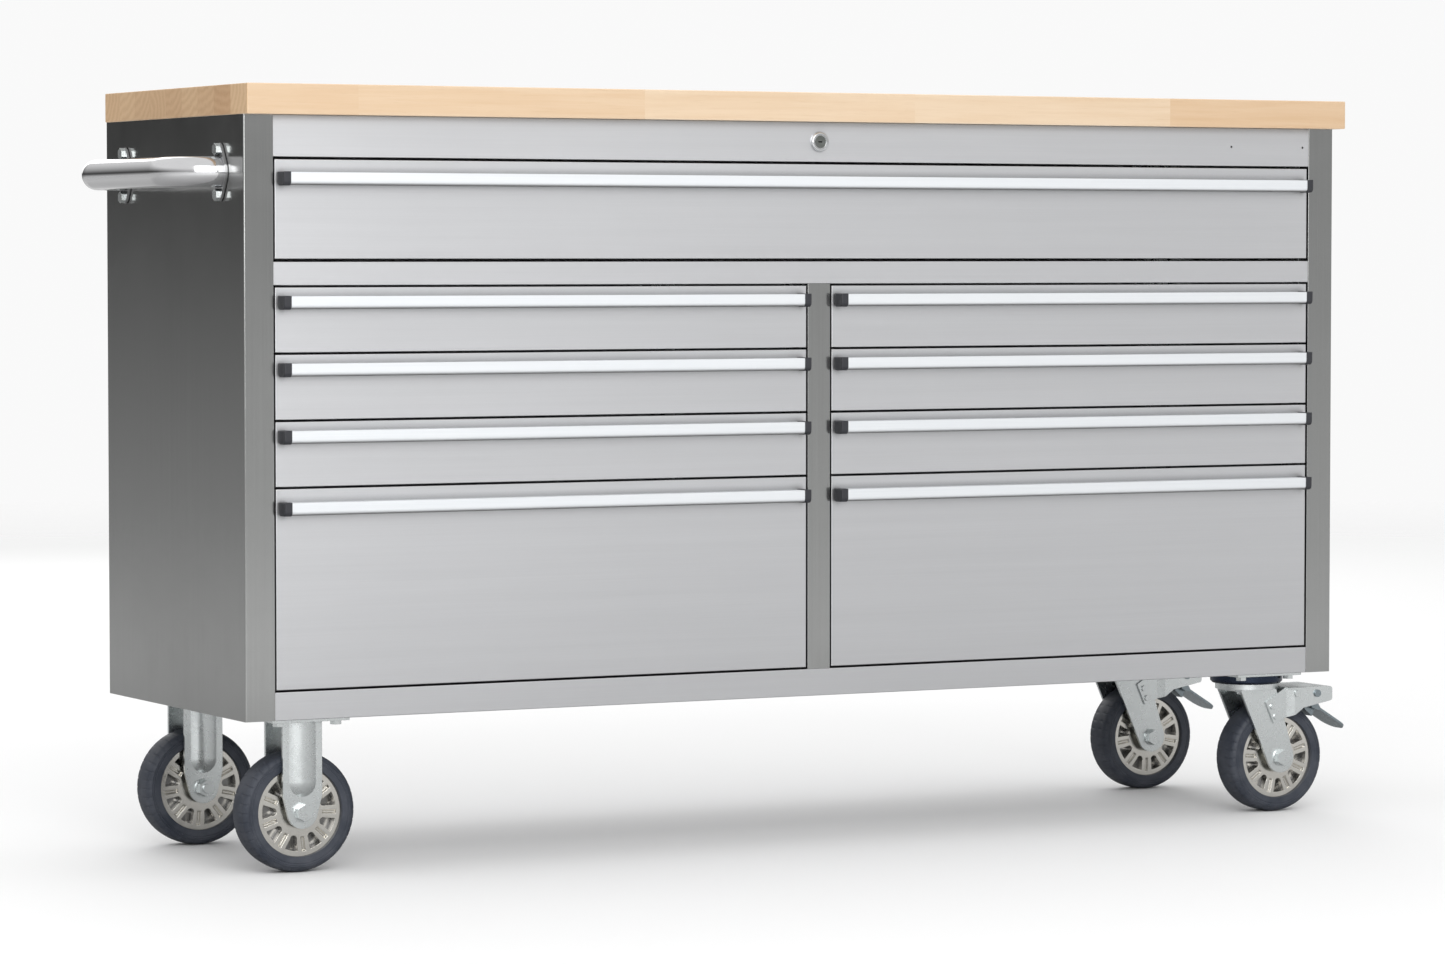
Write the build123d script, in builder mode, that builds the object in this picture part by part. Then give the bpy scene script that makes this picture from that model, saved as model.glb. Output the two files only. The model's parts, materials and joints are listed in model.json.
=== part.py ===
from build123d import *
import math
import os

# Rolling tool chest: a stainless cabinet on four casters with a solid wood worktop, one full-width
# drawer above two banks of four, a push handle on the left end and a central lock.
# Millimetres, +Z up. The drawers open towards -Y and the push handle is at the -X end.
# The origin is on the floor under the middle of the whole object's box.

# ---- Driving dimensions -------------------------------------------------------------------------
cabinet_width = 1586.0
cabinet_depth = 458.0
cabinet_bottom = 193.0
cabinet_top = 928.0
worktop_thickness = 37.0
worktop_overhang = {"left": 1.5, "right": 9.0, "front": 17.0, "back": 1.5}
sheet = 1.2
pan_sheet = 1.5
pan_upturn = 20.0
corner_fold = 1.8
edge_fold = 0.9
post_width = 39.0
post_depth = 17.0
rail_recess = 0.8
centre_post_width = 33.0
flange_width = 22.0

lock_rail_bottom = 877.0
middle_rail_bottom = 721.5
middle_rail_top = 750.0
bottom_rail_top = 227.5

shallow_front = 79.0
drawer_gap = 2.5
side_gap = 2.0
front_recess = 1.0
front_depth = 12.0
tray_sheet = 1.0
tray_length = 406.0
hem_height = 8.0
hem_width = 2.2

slide_space = 12.7
slide_length = 400.0
slide_sheet = 1.2
outer_slide_height = 45.0
inner_slide_height = 35.0
upright_width = 40.0

pull_projection = 20.0
pull_height = 15.5
pull_wall = 2.0
cap_length = 9.5
cap_height = 17.0
cap_inset = 3.5

tube_radius = 19.0
tube_wall = 1.5
handle_centre_reach = 55.5
handle_bend_radius = 50.0
handle_spacing = 318.0
handle_height = 859.0
handle_flange = 4.0
handle_pad = 1.2
handle_pad_inset = 1.6
handle_bolt_offset = 27.5

wheel_radius = 75.0
tyre_half_width = 22.5
rim_radius = 55.5
caster_inset_x = 90.5
caster_inset_y = 67.5
caster_trail = 37.0
plate_length = 102.0
plate_width = 114.0
plate_thickness = 4.0
plate_hole_x = 38.0
plate_hole_y = 44.0
leg_inner = 25.5
leg_outer = 29.5
axle_radius = 6.0
running_gap = 0.06
pedal_reach = 153.5

# ---- Places worked out from the driving dimensions ----------------------------------------------
handle_reach = handle_centre_reach + tube_radius
pedal_overhang = pedal_reach - caster_inset_x
left = -(cabinet_width + pedal_overhang - handle_reach) / 2
right = left + cabinet_width
middle = (left + right) / 2
front = (pull_projection - cabinet_depth - worktop_overhang["back"]) / 2
back = front + cabinet_depth
handle_mid_y = (front + back) / 2
back_inside = back - 2 * sheet
rail_face = front + rail_recess
rail_back = front + post_depth
opening_left = left + post_width
opening_right = right - post_width
centre_left = middle - centre_post_width / 2
centre_right = middle + centre_post_width / 2
lock_height = (lock_rail_bottom + cabinet_top) / 2
plate_bottom = cabinet_bottom - plate_thickness
caster_y = {"front": front + caster_inset_y, "rear": back - caster_inset_y}
rigid_x = left + caster_inset_x
swivel_x = right - caster_inset_x
tray_front = front + front_recess + front_depth
slide_front = front + 22.0
deep_front = middle_rail_bottom - bottom_rail_top - 3 * shallow_front - 5 * drawer_gap

# M8 hexagon bolts hold the casters and the push handle.
bolt_radius = 4.0
bolt_hole_radius = 4.5
bolt_head_flats = 13.0
bolt_head_height = 5.3
nut_height = 6.5


def export(part, name):
    """Label a finished piece and write it as its own STEP file."""
    part.label = name
    export_step(part, f"parts/{name}.step")


def block(low, high, mode=Mode.ADD):
    """Box between two opposite corners, in the part being built."""
    size = [b - a for a, b in zip(low, high)]
    centre = Vector(*((a + b) / 2 for a, b in zip(low, high)))
    with Locations(centre):
        Box(*size, mode=mode)


def along_y(x, z, start, end, radius, mode=Mode.ADD):
    """Cylinder whose axis runs along Y, in the part being built."""
    with Locations(Location((x, (start + end) / 2, z), (90, 0, 0))):
        Cylinder(radius, end - start, mode=mode)


def along_x(y, z, start, end, radius, mode=Mode.ADD):
    """Cylinder whose axis runs along X, in the part being built."""
    with Locations(Location(((start + end) / 2, y, z), (0, 90, 0))):
        Cylinder(radius, end - start, mode=mode)


def along_z(x, y, start, end, radius, mode=Mode.ADD):
    """Cylinder whose axis runs along Z, in the part being built."""
    with Locations((x, y, (start + end) / 2)):
        Cylinder(radius, end - start, mode=mode)


def hexagon(centre, direction, flats, height):
    """Hexagonal prism that stands on a point and grows along a direction, in the part being built."""
    with BuildSketch(Plane(origin=centre, z_dir=direction)) as outline:
        RegularPolygon(flats / math.sqrt(3), 6)
    extrude(outline.sketch, amount=height)


def section_plane(x):
    """Plane across X: its own axes are +Y and +Z, and an extrusion grows towards +X."""
    return Plane(origin=(x, 0, 0), x_dir=(0, 1, 0), z_dir=(1, 0, 0))


def side_plane(x, y):
    """Plane along X: its own axes are +X and +Z, and an extrusion grows towards -Y."""
    return Plane(origin=(x, y, 0), x_dir=(1, 0, 0), z_dir=(0, -1, 0))


def group(*parts):
    """Several finished pieces as separate solids of one node."""
    return Compound([solid for part in parts for solid in part.solids()])


def plate_holes(x, y):
    """The four bolt places of a caster plate centred on (x, y)."""
    return [(x + i * plate_hole_x, y + j * plate_hole_y) for i in (-1, 1) for j in (-1, 1)]


def handle_bolts():
    """The four bolt places (y, z) of the push handle's flanges."""
    ys = [handle_mid_y + side * handle_spacing / 2 for side in (-1, 1)]
    return [(y, handle_height + side * handle_bolt_offset) for y in ys for side in (-1, 1)]


# ---- Cabinet shell ------------------------------------------------------------------------------
def make_worktop():
    """Solid wood slab with lightly eased edges."""
    low = (left - worktop_overhang["left"], front - worktop_overhang["front"], cabinet_top)
    high = (right + worktop_overhang["right"], back + worktop_overhang["back"],
            cabinet_top + worktop_thickness)
    with BuildPart() as worktop:
        block(low, high)
        fillet(worktop.edges(), 1.5)
    return worktop.part


def make_side_panel(outer, inward):
    """Folded end panel: skin, front post, rear flange and top flange. inward is +1 or -1."""
    def span(start, end):
        return sorted((outer + inward * start, outer + inward * end))

    with BuildPart() as side_panel:
        skin, post = span(0, sheet), span(0, post_width)
        fold, flange = span(post_width - sheet, post_width), span(0, flange_width)
        block((skin[0], front, cabinet_bottom), (skin[1], back, cabinet_top))
        block((post[0], front, cabinet_bottom), (post[1], front + sheet, cabinet_top))
        block((fold[0], front, cabinet_bottom), (fold[1], rail_back, cabinet_top))
        block((flange[0], back - sheet, cabinet_bottom), (flange[1], back, cabinet_top))
        block((flange[0], front, cabinet_top - sheet), (flange[1], back, cabinet_top))
        post_edges = side_panel.edges().filter_by(Axis.Z).group_by(Axis.Y)[0].sort_by(Axis.X)
        fillet(post_edges[0 if inward > 0 else -1], corner_fold)
        post_edges = side_panel.edges().filter_by(Axis.Z).group_by(Axis.Y)[0].sort_by(Axis.X)
        fillet(post_edges[-1 if inward > 0 else 0], edge_fold)
        if inward > 0:
            for y, z in handle_bolts():
                along_x(y, z, outer - 1, outer + sheet + 1, bolt_hole_radius, Mode.SUBTRACT)
    return side_panel.part


def make_back_panel():
    with BuildPart() as back_panel:
        block((left + sheet, back_inside, cabinet_bottom),
              (right - sheet, back - sheet, cabinet_top - sheet))
    return back_panel.part


def make_base_pan():
    """Floor of the cabinet with turned-up sides, drilled for the caster bolts."""
    low_x, high_x = left + sheet, right - sheet
    with BuildPart() as base_pan:
        block((low_x, rail_back, cabinet_bottom), (high_x, back_inside, cabinet_bottom + pan_sheet))
        for x in (low_x, high_x - pan_sheet):
            block((x, rail_back, cabinet_bottom), (x + pan_sheet, back_inside, cabinet_bottom + pan_upturn))
        for x in (rigid_x, swivel_x):
            for y in caster_y.values():
                for hole_x, hole_y in plate_holes(x, y):
                    along_z(hole_x, hole_y, cabinet_bottom - 1, cabinet_bottom + pan_sheet + 1,
                            bolt_hole_radius, Mode.SUBTRACT)
    return base_pan.part


def round_front(part, across):
    """Round the folds round the foremost face that run along an axis, in the part being built."""
    fillet(part.faces().sort_by(Axis.Y)[0].edges().filter_by(across), edge_fold)


def folded_rail(low_z, high_z):
    """Front rail with a top and a bottom flange, in the part being built."""
    block((opening_left, rail_face, low_z), (opening_right, rail_face + sheet, high_z))
    block((opening_left, rail_face, low_z), (opening_right, rail_back, low_z + sheet))
    block((opening_left, rail_face, high_z - sheet), (opening_right, rail_back, high_z))


def make_rail(low_z, high_z):
    with BuildPart() as rail:
        folded_rail(low_z, high_z)
        round_front(rail, Axis.X)
    return rail.part


lock_barrel_radius = 9.0


def make_lock_rail():
    """Top front rail with the lock hole and two small pilot holes."""
    pilot_holes = (right - 163.0, right - 48.5)
    pilot_radius = 1.5
    with BuildPart() as lock_rail:
        folded_rail(lock_rail_bottom, cabinet_top)
        round_front(lock_rail, Axis.X)
        along_y(middle, lock_height, front - 1, rail_back, lock_barrel_radius + 0.2, Mode.SUBTRACT)
        for x in pilot_holes:
            along_y(x, lock_height, front - 1, rail_face + sheet + 1, pilot_radius, Mode.SUBTRACT)
    return lock_rail.part


def make_centre_partition():
    """Divider between the two drawer banks, with its folded front post."""
    top, low = middle_rail_bottom, bottom_rail_top
    with BuildPart() as partition:
        block((centre_left, rail_face, low), (centre_right, rail_face + sheet, top))
        for x in (centre_left, centre_right - sheet):
            block((x, rail_face, low), (x + sheet, rail_back, top))
        round_front(partition, Axis.Z)
        block((middle - sheet / 2, rail_face, low), (middle + sheet / 2, back_inside, top))
        block((middle - sheet / 2, rail_back, cabinet_bottom + pan_sheet),
              (middle + sheet / 2, back_inside, low + 1))
    return partition.part


# ---- Drawer slides ------------------------------------------------------------------------------
def channel_upright(wall_x, face_x, y, low_z, high_z):
    """Vertical channel from a wall out to the plane that the slides are fixed to."""
    inward = 1 if face_x > wall_x else -1
    face = sorted((face_x - inward * sheet, face_x))
    web = sorted((wall_x, face_x))
    block((face[0], y, low_z), (face[1], y + upright_width, high_z))
    for leg_y in (y, y + upright_width - sheet):
        block((web[0], leg_y, low_z), (web[1], leg_y + sheet, high_z))


def make_slide_uprights():
    """Eight channels: two on each end panel and two on each side of the partition."""
    low = cabinet_bottom + pan_sheet
    rows = (slide_front, slide_front + slide_length - upright_width / 2)
    with BuildPart() as uprights:
        for y in rows:
            channel_upright(left + sheet + pan_sheet, opening_left, y, low, cabinet_top - sheet)
            channel_upright(right - sheet - pan_sheet, opening_right, y, low, cabinet_top - sheet)
            channel_upright(middle - sheet / 2, centre_left, y, low, middle_rail_bottom)
            channel_upright(middle + sheet / 2, centre_right, y, low, middle_rail_bottom)
    return uprights.part


def slide_channel(back_x, open_x, y, z, height):
    """C-shaped slide member: web at back_x, flanges reaching to open_x."""
    inward = 1 if open_x > back_x else -1
    web = sorted((back_x, back_x + inward * slide_sheet))
    reach = sorted((back_x, open_x))
    block((web[0], y, z - height / 2), (web[1], y + slide_length, z + height / 2))
    block((reach[0], y, z - height / 2), (reach[1], y + slide_length, z - height / 2 + slide_sheet))
    block((reach[0], y, z + height / 2 - slide_sheet), (reach[1], y + slide_length, z + height / 2))


# ---- Drawers ------------------------------------------------------------------------------------
class Drawer:
    """Places of one drawer: opening between two posts, front height and tray height."""

    def __init__(self, name, low_x, high_x, low_z, front_height, tray_height, slide_z, pull_drop):
        self.name = name
        self.front_x = (low_x + side_gap, high_x - side_gap)
        self.opening_x = (low_x, high_x)
        self.tray_x = (low_x + slide_space, high_x - slide_space)
        self.low_z = low_z
        self.high_z = low_z + front_height
        self.tray_z = (low_z + 6.0, low_z + 6.0 + tray_height)
        self.slide_z = low_z + slide_z
        self.pull_z = self.high_z - pull_drop


def bank(name, low_x, high_x):
    """Three shallow drawers above a deep one."""
    drawers = []
    for row in range(3):
        low_z = middle_rail_bottom - (row + 1) * (shallow_front + drawer_gap)
        place = f"{name}_drawer_{row + 1}"
        drawers.append(Drawer(place, low_x, high_x, low_z, shallow_front, 60.0, 36.0, 18.5))
    low_z = bottom_rail_top + drawer_gap
    drawers.append(Drawer(f"{name}_drawer_4", low_x, high_x, low_z, deep_front, 208.0, 110.0, 24.0))
    return drawers


top_low_z = middle_rail_top + drawer_gap + 1.0
top_front = lock_rail_bottom - drawer_gap - 0.5 - top_low_z
all_drawers = [Drawer("top_drawer", opening_left, opening_right, top_low_z, top_front, 94.0, 50.0, 23.5)]
all_drawers += bank("left", opening_left, centre_left)
all_drawers += bank("right", centre_right, opening_right)


def make_slide_rails():
    """The cabinet member of every slide, two to a drawer."""
    reach = 9.5
    with BuildPart() as rails:
        for drawer in all_drawers:
            low_x, high_x = drawer.opening_x
            slide_channel(low_x, low_x + reach, slide_front, drawer.slide_z, outer_slide_height)
            slide_channel(high_x, high_x - reach, slide_front, drawer.slide_z, outer_slide_height)
    return rails.part


def make_tray(drawer):
    """Drawer box with its folded front, hemmed rims and the two drawer members of its slides."""
    face = front + front_recess
    tray_back = tray_front + tray_length
    front_low, front_high = drawer.front_x
    low_x, high_x = drawer.tray_x
    low_z, high_z = drawer.tray_z
    hem_z = high_z - hem_height
    with BuildPart() as tray:
        # folded front: face, four returns and the inner wall behind it
        block((front_low, face, drawer.low_z), (front_high, face + sheet, drawer.high_z))
        for z in (drawer.low_z, drawer.high_z - sheet):
            block((front_low, face, z), (front_high, tray_front, z + sheet))
        for x in (front_low, front_high - sheet):
            block((x, face, drawer.low_z), (x + sheet, tray_front, drawer.high_z))
        fillet(tray.faces().sort_by(Axis.Y)[0].edges(), edge_fold)
        block((low_x, tray_front, drawer.low_z), (high_x, tray_front + tray_sheet, drawer.high_z))
        # box
        block((low_x, tray_front, low_z), (high_x, tray_back, low_z + tray_sheet))
        for x in (low_x, high_x - tray_sheet):
            block((x, tray_front, low_z), (x + tray_sheet, tray_back, high_z))
        block((low_x, tray_back - tray_sheet, low_z), (high_x, tray_back, high_z))
        # hems
        for x in (low_x, high_x - hem_width):
            block((x, tray_front, hem_z), (x + hem_width, tray_back, high_z))
        block((low_x, tray_back - hem_width, hem_z), (high_x, tray_back, high_z))
    reach = 8.2
    with BuildPart() as members:
        slide_channel(low_x, low_x - reach, tray_front + 4, drawer.slide_z, inner_slide_height)
        slide_channel(high_x, high_x + reach, tray_front + 4, drawer.slide_z, inner_slide_height)
    return group(tray.part, members.part)


def make_pull(drawer):
    """Aluminium pull: a hollow section with a round nose, open underneath behind its curled lip."""
    face = front + front_recess
    nose = front - pull_projection + 0.5
    low_x, high_x = (drawer.front_x[0] + cap_inset + cap_length, drawer.front_x[1] - cap_inset - cap_length)
    depth, curl = face - nose, 7.0
    with BuildPart() as pull:
        with BuildSketch(section_plane(low_x)) as section:
            with Locations(((nose + face) / 2, drawer.pull_z)):
                Rectangle(depth, pull_height)
            fillet(section.vertices().group_by(Axis.Y)[0], 5.0)
        extrude(amount=high_x - low_x)
        with BuildSketch(section_plane(low_x)) as hollow:
            with Locations(((nose + face) / 2, drawer.pull_z)):
                Rectangle(depth - 2 * pull_wall, pull_height - 2 * pull_wall)
            fillet(hollow.vertices().group_by(Axis.Y)[0], 5.0 - pull_wall)
            with Locations(((nose + curl + face - pull_wall) / 2, drawer.pull_z - pull_height / 2)):
                Rectangle(depth - pull_wall - curl, pull_height / 2)
        extrude(amount=high_x - low_x, mode=Mode.SUBTRACT)
    return pull.part


def make_end_caps(drawer):
    """Two moulded caps that close the ends of a pull."""
    face = front + front_recess
    nose = front - pull_projection
    ends = (drawer.front_x[0] + cap_inset, drawer.front_x[1] - cap_inset - cap_length)
    with BuildPart() as caps:
        for x in ends:
            with BuildSketch(section_plane(x)) as section:
                with Locations(((nose + face) / 2, drawer.pull_z)):
                    Rectangle(face - nose, cap_height)
                fillet(section.vertices().group_by(Axis.Y)[0], 5.5)
            extrude(amount=cap_length)
        for end_face in (caps.faces().sort_by(Axis.X)[0], caps.faces().sort_by(Axis.X)[-1]):
            fillet(end_face.edges().sort_by(Axis.Y)[:-1], 1.2)
    return caps.part


# ---- Push handle and bolts ----------------------------------------------------------------------
def make_push_handle():
    """Bent tube welded to two oval flanges, each on a thin inset pad, open at the panel."""
    out = left - handle_centre_reach
    near, far = (handle_mid_y + side * handle_spacing / 2 for side in (-1, 1))
    with BuildPart() as handle:
        with BuildLine() as path:
            FilletPolyline((left, near, handle_height), (out, near, handle_height),
                           (out, far, handle_height), (left, far, handle_height),
                           radius=handle_bend_radius)
        with BuildSketch(Plane(origin=(left, near, handle_height), z_dir=(-1, 0, 0))):
            Circle(tube_radius)
            Circle(tube_radius - tube_wall, mode=Mode.SUBTRACT)
        sweep(path=path.line)
        plate_layer = (handle_flange, handle_flange - handle_pad, 0.0)
        pad_layer = (handle_pad, handle_pad, handle_pad_inset)
        for y in (near, far):
            bolt_places = [(y, handle_height + side * handle_bolt_offset) for side in (-1, 1)]
            for stand_off, thickness, inset in (plate_layer, pad_layer):
                with BuildSketch(section_plane(left - stand_off)):
                    with Locations((y, handle_height)):
                        Circle(22.0 - inset)
                    with Locations(*bolt_places):
                        Circle(8.0 - inset)
                    make_hull()
                    with Locations((y, handle_height)):
                        Circle(tube_radius - tube_wall, mode=Mode.SUBTRACT)
                    with Locations(*bolt_places):
                        Circle(bolt_hole_radius, mode=Mode.SUBTRACT)
                extrude(amount=thickness)
    return handle.part


def make_m8_bolts():
    """Sixteen caster bolts, heads below, and four handle bolts, heads outside; each with its nut."""
    up, down, outward, inward = (0, 0, 1), (0, 0, -1), (-1, 0, 0), (1, 0, 0)
    tip = 11.0
    with BuildPart() as bolts:
        for x in (rigid_x, swivel_x):
            for y in caster_y.values():
                for bolt_x, bolt_y in plate_holes(x, y):
                    hexagon((bolt_x, bolt_y, plate_bottom), down, bolt_head_flats, bolt_head_height)
                    hexagon((bolt_x, bolt_y, cabinet_bottom + pan_sheet), up, bolt_head_flats, nut_height)
                    along_z(bolt_x, bolt_y, plate_bottom - 1, cabinet_bottom + tip, bolt_radius)
        for y, z in handle_bolts():
            hexagon((left - handle_flange, y, z), outward, bolt_head_flats, bolt_head_height)
            hexagon((left + sheet, y, z), inward, bolt_head_flats, nut_height)
            along_x(y, z, left - handle_flange - 1, left + tip, bolt_radius)
    return bolts.part


# ---- Lock ---------------------------------------------------------------------------------------
plug_radius = 7.5
barrel_end = front + 26.0


def make_lock_housing():
    """Chromed ring and barrel, fixed in the lock rail."""
    with BuildPart() as housing:
        along_y(middle, lock_height, front - 3.2, rail_face, 12.5)
        fillet(housing.edges().group_by(Axis.Y)[0], 2.4)
        along_y(middle, lock_height, front - 5, front - 2.4, plug_radius + 1, Mode.SUBTRACT)
        along_y(middle, lock_height, rail_face - 1, barrel_end, lock_barrel_radius)
        along_y(middle, lock_height, front - 5, barrel_end + 1, plug_radius + running_gap, Mode.SUBTRACT)
    return housing.part


def make_lock_plug():
    """Key plug with its slot in front and its flat cam behind the barrel."""
    cam_front, cam_back = barrel_end + 0.5, barrel_end + 2.5
    cam_half_width, cam_reach = 5.0, 16.0
    key_slot = (3.0, 0.8)
    with BuildPart() as plug:
        along_y(middle, lock_height, front - 2.2, cam_front + 1, plug_radius)
        block((middle - key_slot[0], front - 5, lock_height - key_slot[1]),
              (middle + key_slot[0], front + 5, lock_height + key_slot[1]), Mode.SUBTRACT)
        block((middle - cam_half_width, cam_front, lock_height - cam_reach),
              (middle + cam_half_width, cam_back, lock_height + cam_half_width))
    return plug.part


# ---- Wheels -------------------------------------------------------------------------------------
def make_rim(x, y, turn):
    """Cast wheel centre: flat rim ring, nine windows on each side, twin-ribbed spokes and a plain hub.
    turn is the angle of one window, from +X towards +Z."""
    hub_half, face_half, web_half = 25.2, 18.0, 5.0
    windows, window_inner, window_outer = 9, 34.5, 48.6
    end_radius, outer_width, side_angle = 4.6, 18.0, 72.5
    groove_length, groove_width, groove_depth, groove_taper = 18.5, 5.2, 2.6, 35
    reach = window_outer + 0.5 - window_inner
    with BuildPart() as rim:
        along_y(x, wheel_radius, y - face_half, y + face_half, rim_radius)
        along_y(x, wheel_radius, y - hub_half, y + hub_half, 15.0)
        for side in (-1, 1):
            face_y = y + side * face_half
            face = Plane(origin=(x, face_y, wheel_radius), x_dir=(1, 0, 0), z_dir=(0, -side, 0))
            with BuildSketch(face):
                with PolarLocations(0, windows, start_angle=side * turn):
                    with Locations((window_inner, 0)):
                        Circle(end_radius)
                    with Locations((window_inner + reach / 2, 0)):
                        Trapezoid(outer_width, reach, side_angle, rotation=90)
                Circle(window_outer, mode=Mode.INTERSECT)
            extrude(amount=face_half - web_half, mode=Mode.SUBTRACT)
            spoke_turn = side * turn + 180 / windows
            with BuildSketch(face):
                with PolarLocations(0, windows, start_angle=spoke_turn):
                    with Locations((window_outer + 0.8 - groove_length / 2, 0)):
                        Rectangle(groove_length, groove_width)
            extrude(amount=groove_depth, taper=groove_taper, mode=Mode.SUBTRACT)
        along_y(x, wheel_radius, y - hub_half - 1, y + hub_half + 1,
                axle_radius + running_gap, Mode.SUBTRACT)
    return rim.part


def make_tyre(x, y):
    """Solid rubber tyre with round shoulders."""
    with BuildPart() as tyre:
        with BuildSketch(Plane(origin=(x, y, wheel_radius))) as section:
            with Locations(((rim_radius + wheel_radius) / 2, 0)):
                Rectangle(wheel_radius - rim_radius, 2 * tyre_half_width)
            fillet(section.vertices().group_by(Axis.X)[-1], 9.0)
        revolve(axis=Axis((x, y, wheel_radius), (0, 1, 0)))
    return tyre.part


def make_axle(x, y, head_side):
    """M12 axle bolt with washers and nut. head_side is -1 where the head faces the front."""
    washer, washer_radius, flats = 1.5, 12.0, 19.0
    head, nut, tail = 7.5, 10.0, 14.0
    ends = sorted((y + head_side * leg_outer, y - head_side * (leg_outer + tail)))
    with BuildPart() as axle:
        along_y(x, wheel_radius, *ends, axle_radius)
        for side, height in ((head_side, head), (-head_side, nut)):
            faces = sorted((y + side * leg_outer, y + side * (leg_outer + washer)))
            along_y(x, wheel_radius, *faces, washer_radius)
            hexagon((x, y + side * (leg_outer + washer), wheel_radius), (0, side, 0), flats, height)
    return axle.part


# ---- Caster frames ------------------------------------------------------------------------------
def caster_plate(x, y):
    """Bolting plate with its four holes, in the part being built."""
    block((x - plate_length / 2, y - plate_width / 2, plate_bottom),
          (x + plate_length / 2, y + plate_width / 2, cabinet_bottom))
    for hole_x, hole_y in plate_holes(x, y):
        along_z(hole_x, hole_y, plate_bottom - 1, cabinet_bottom + 1, bolt_hole_radius, Mode.SUBTRACT)


def make_leg_rib(y, side):
    """Rib pressed out of a rigid leg: shallow round section with a domed lower end."""
    half_width, height, end = 17.5, 5.5, 112.0
    radius = (half_width ** 2 + height ** 2) / (2 * height)
    centre_y = y + side * (leg_outer + height - radius)
    low_y, high_y = sorted((y + side * (leg_outer - 0.5), y + side * (leg_outer + height + 1)))
    with BuildPart() as rib:
        along_z(rigid_x, centre_y, end, plate_bottom, radius)
        with Locations((rigid_x, centre_y, end)):
            Sphere(radius)
        block((rigid_x - 2 * half_width, low_y, end - 2 * half_width),
              (rigid_x + 2 * half_width, high_y, plate_bottom), Mode.INTERSECT)
    return rib.part


def make_rigid_fork(y):
    """Pressed rigid fork: plate and two tapering legs, each with a raised rib."""
    leg_half, taper_start, tip_radius = 26.0, 96.0, 20.0
    x = rigid_x
    ribs = [make_leg_rib(y, side) for side in (-1, 1)]
    with BuildPart() as fork:
        caster_plate(x, y)
        for outer in (leg_outer, -leg_inner):
            with BuildSketch(side_plane(x, y + outer)):
                with Locations((0, wheel_radius)):
                    Circle(tip_radius)
                with Locations((0, (plate_bottom + taper_start) / 2)):
                    Rectangle(2 * leg_half, plate_bottom - taper_start)
                make_hull()
            extrude(amount=leg_outer - leg_inner)
        add(ribs)
        along_y(x, wheel_radius, y - leg_outer - 1, y + leg_outer + 1, axle_radius + 0.2, Mode.SUBTRACT)
    return fork.part


race_radius = 49.0
lower_race_radius = 42.0
race_split = plate_bottom - 12.0
fork_top = cabinet_bottom - 23.0
fork_underside = fork_top - 4.0
kingpin_radius = 8.0
bearing_gap = 0.4


def make_swivel_plate(y):
    """Swivel caster's plate with its upper ball race and kingpin."""
    head_low, head_high = fork_underside - bearing_gap - 5.0, fork_underside - bearing_gap
    with BuildPart() as plate:
        caster_plate(swivel_x, y)
        along_z(swivel_x, y, race_split, plate_bottom, race_radius)
        chamfer(plate.edges().filter_by(GeomType.CIRCLE).group_by(Axis.Z)[0], 3.0)
        along_z(swivel_x, y, head_low, race_split, kingpin_radius)
        along_z(swivel_x, y, head_low, head_high, 13.0)
    return plate.part


def make_swivel_yoke(y):
    """Swivel fork: lower race, top bridge and two legs that trail towards +X."""
    x = swivel_x
    leg_low, leg_high, tip_radius = -27.0, 29.0, 21.0
    with BuildPart() as yoke:
        for outer in (leg_outer, -leg_inner):
            with BuildSketch(side_plane(x, y + outer)):
                with Locations((caster_trail, wheel_radius)):
                    Circle(tip_radius)
                with Locations(((leg_low + leg_high) / 2, (fork_top + fork_underside) / 2)):
                    Rectangle(leg_high - leg_low, fork_top - fork_underside)
                make_hull()
            extrude(amount=leg_outer - leg_inner)
        block((x + leg_low, y - leg_outer, fork_underside), (x + leg_high, y + leg_outer, fork_top))
        along_z(x, y, fork_top - 1, race_split - bearing_gap, lower_race_radius)
        along_z(x, y, fork_underside - 1, race_split, kingpin_radius + running_gap, Mode.SUBTRACT)
        along_y(x + caster_trail, wheel_radius, y - leg_outer - 1, y + leg_outer + 1,
                axle_radius + 0.2, Mode.SUBTRACT)
    return yoke.part


# Brake bracket and pedal, measured from the swivel axis.
bracket_end = 115.0
bracket_sheet = 2.5
bracket_inner = 36.5
bracket_outer = bracket_inner + bracket_sheet
pedal_pivot = (90.0, fork_top - 9.0)
pivot_radius = 3.0


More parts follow.
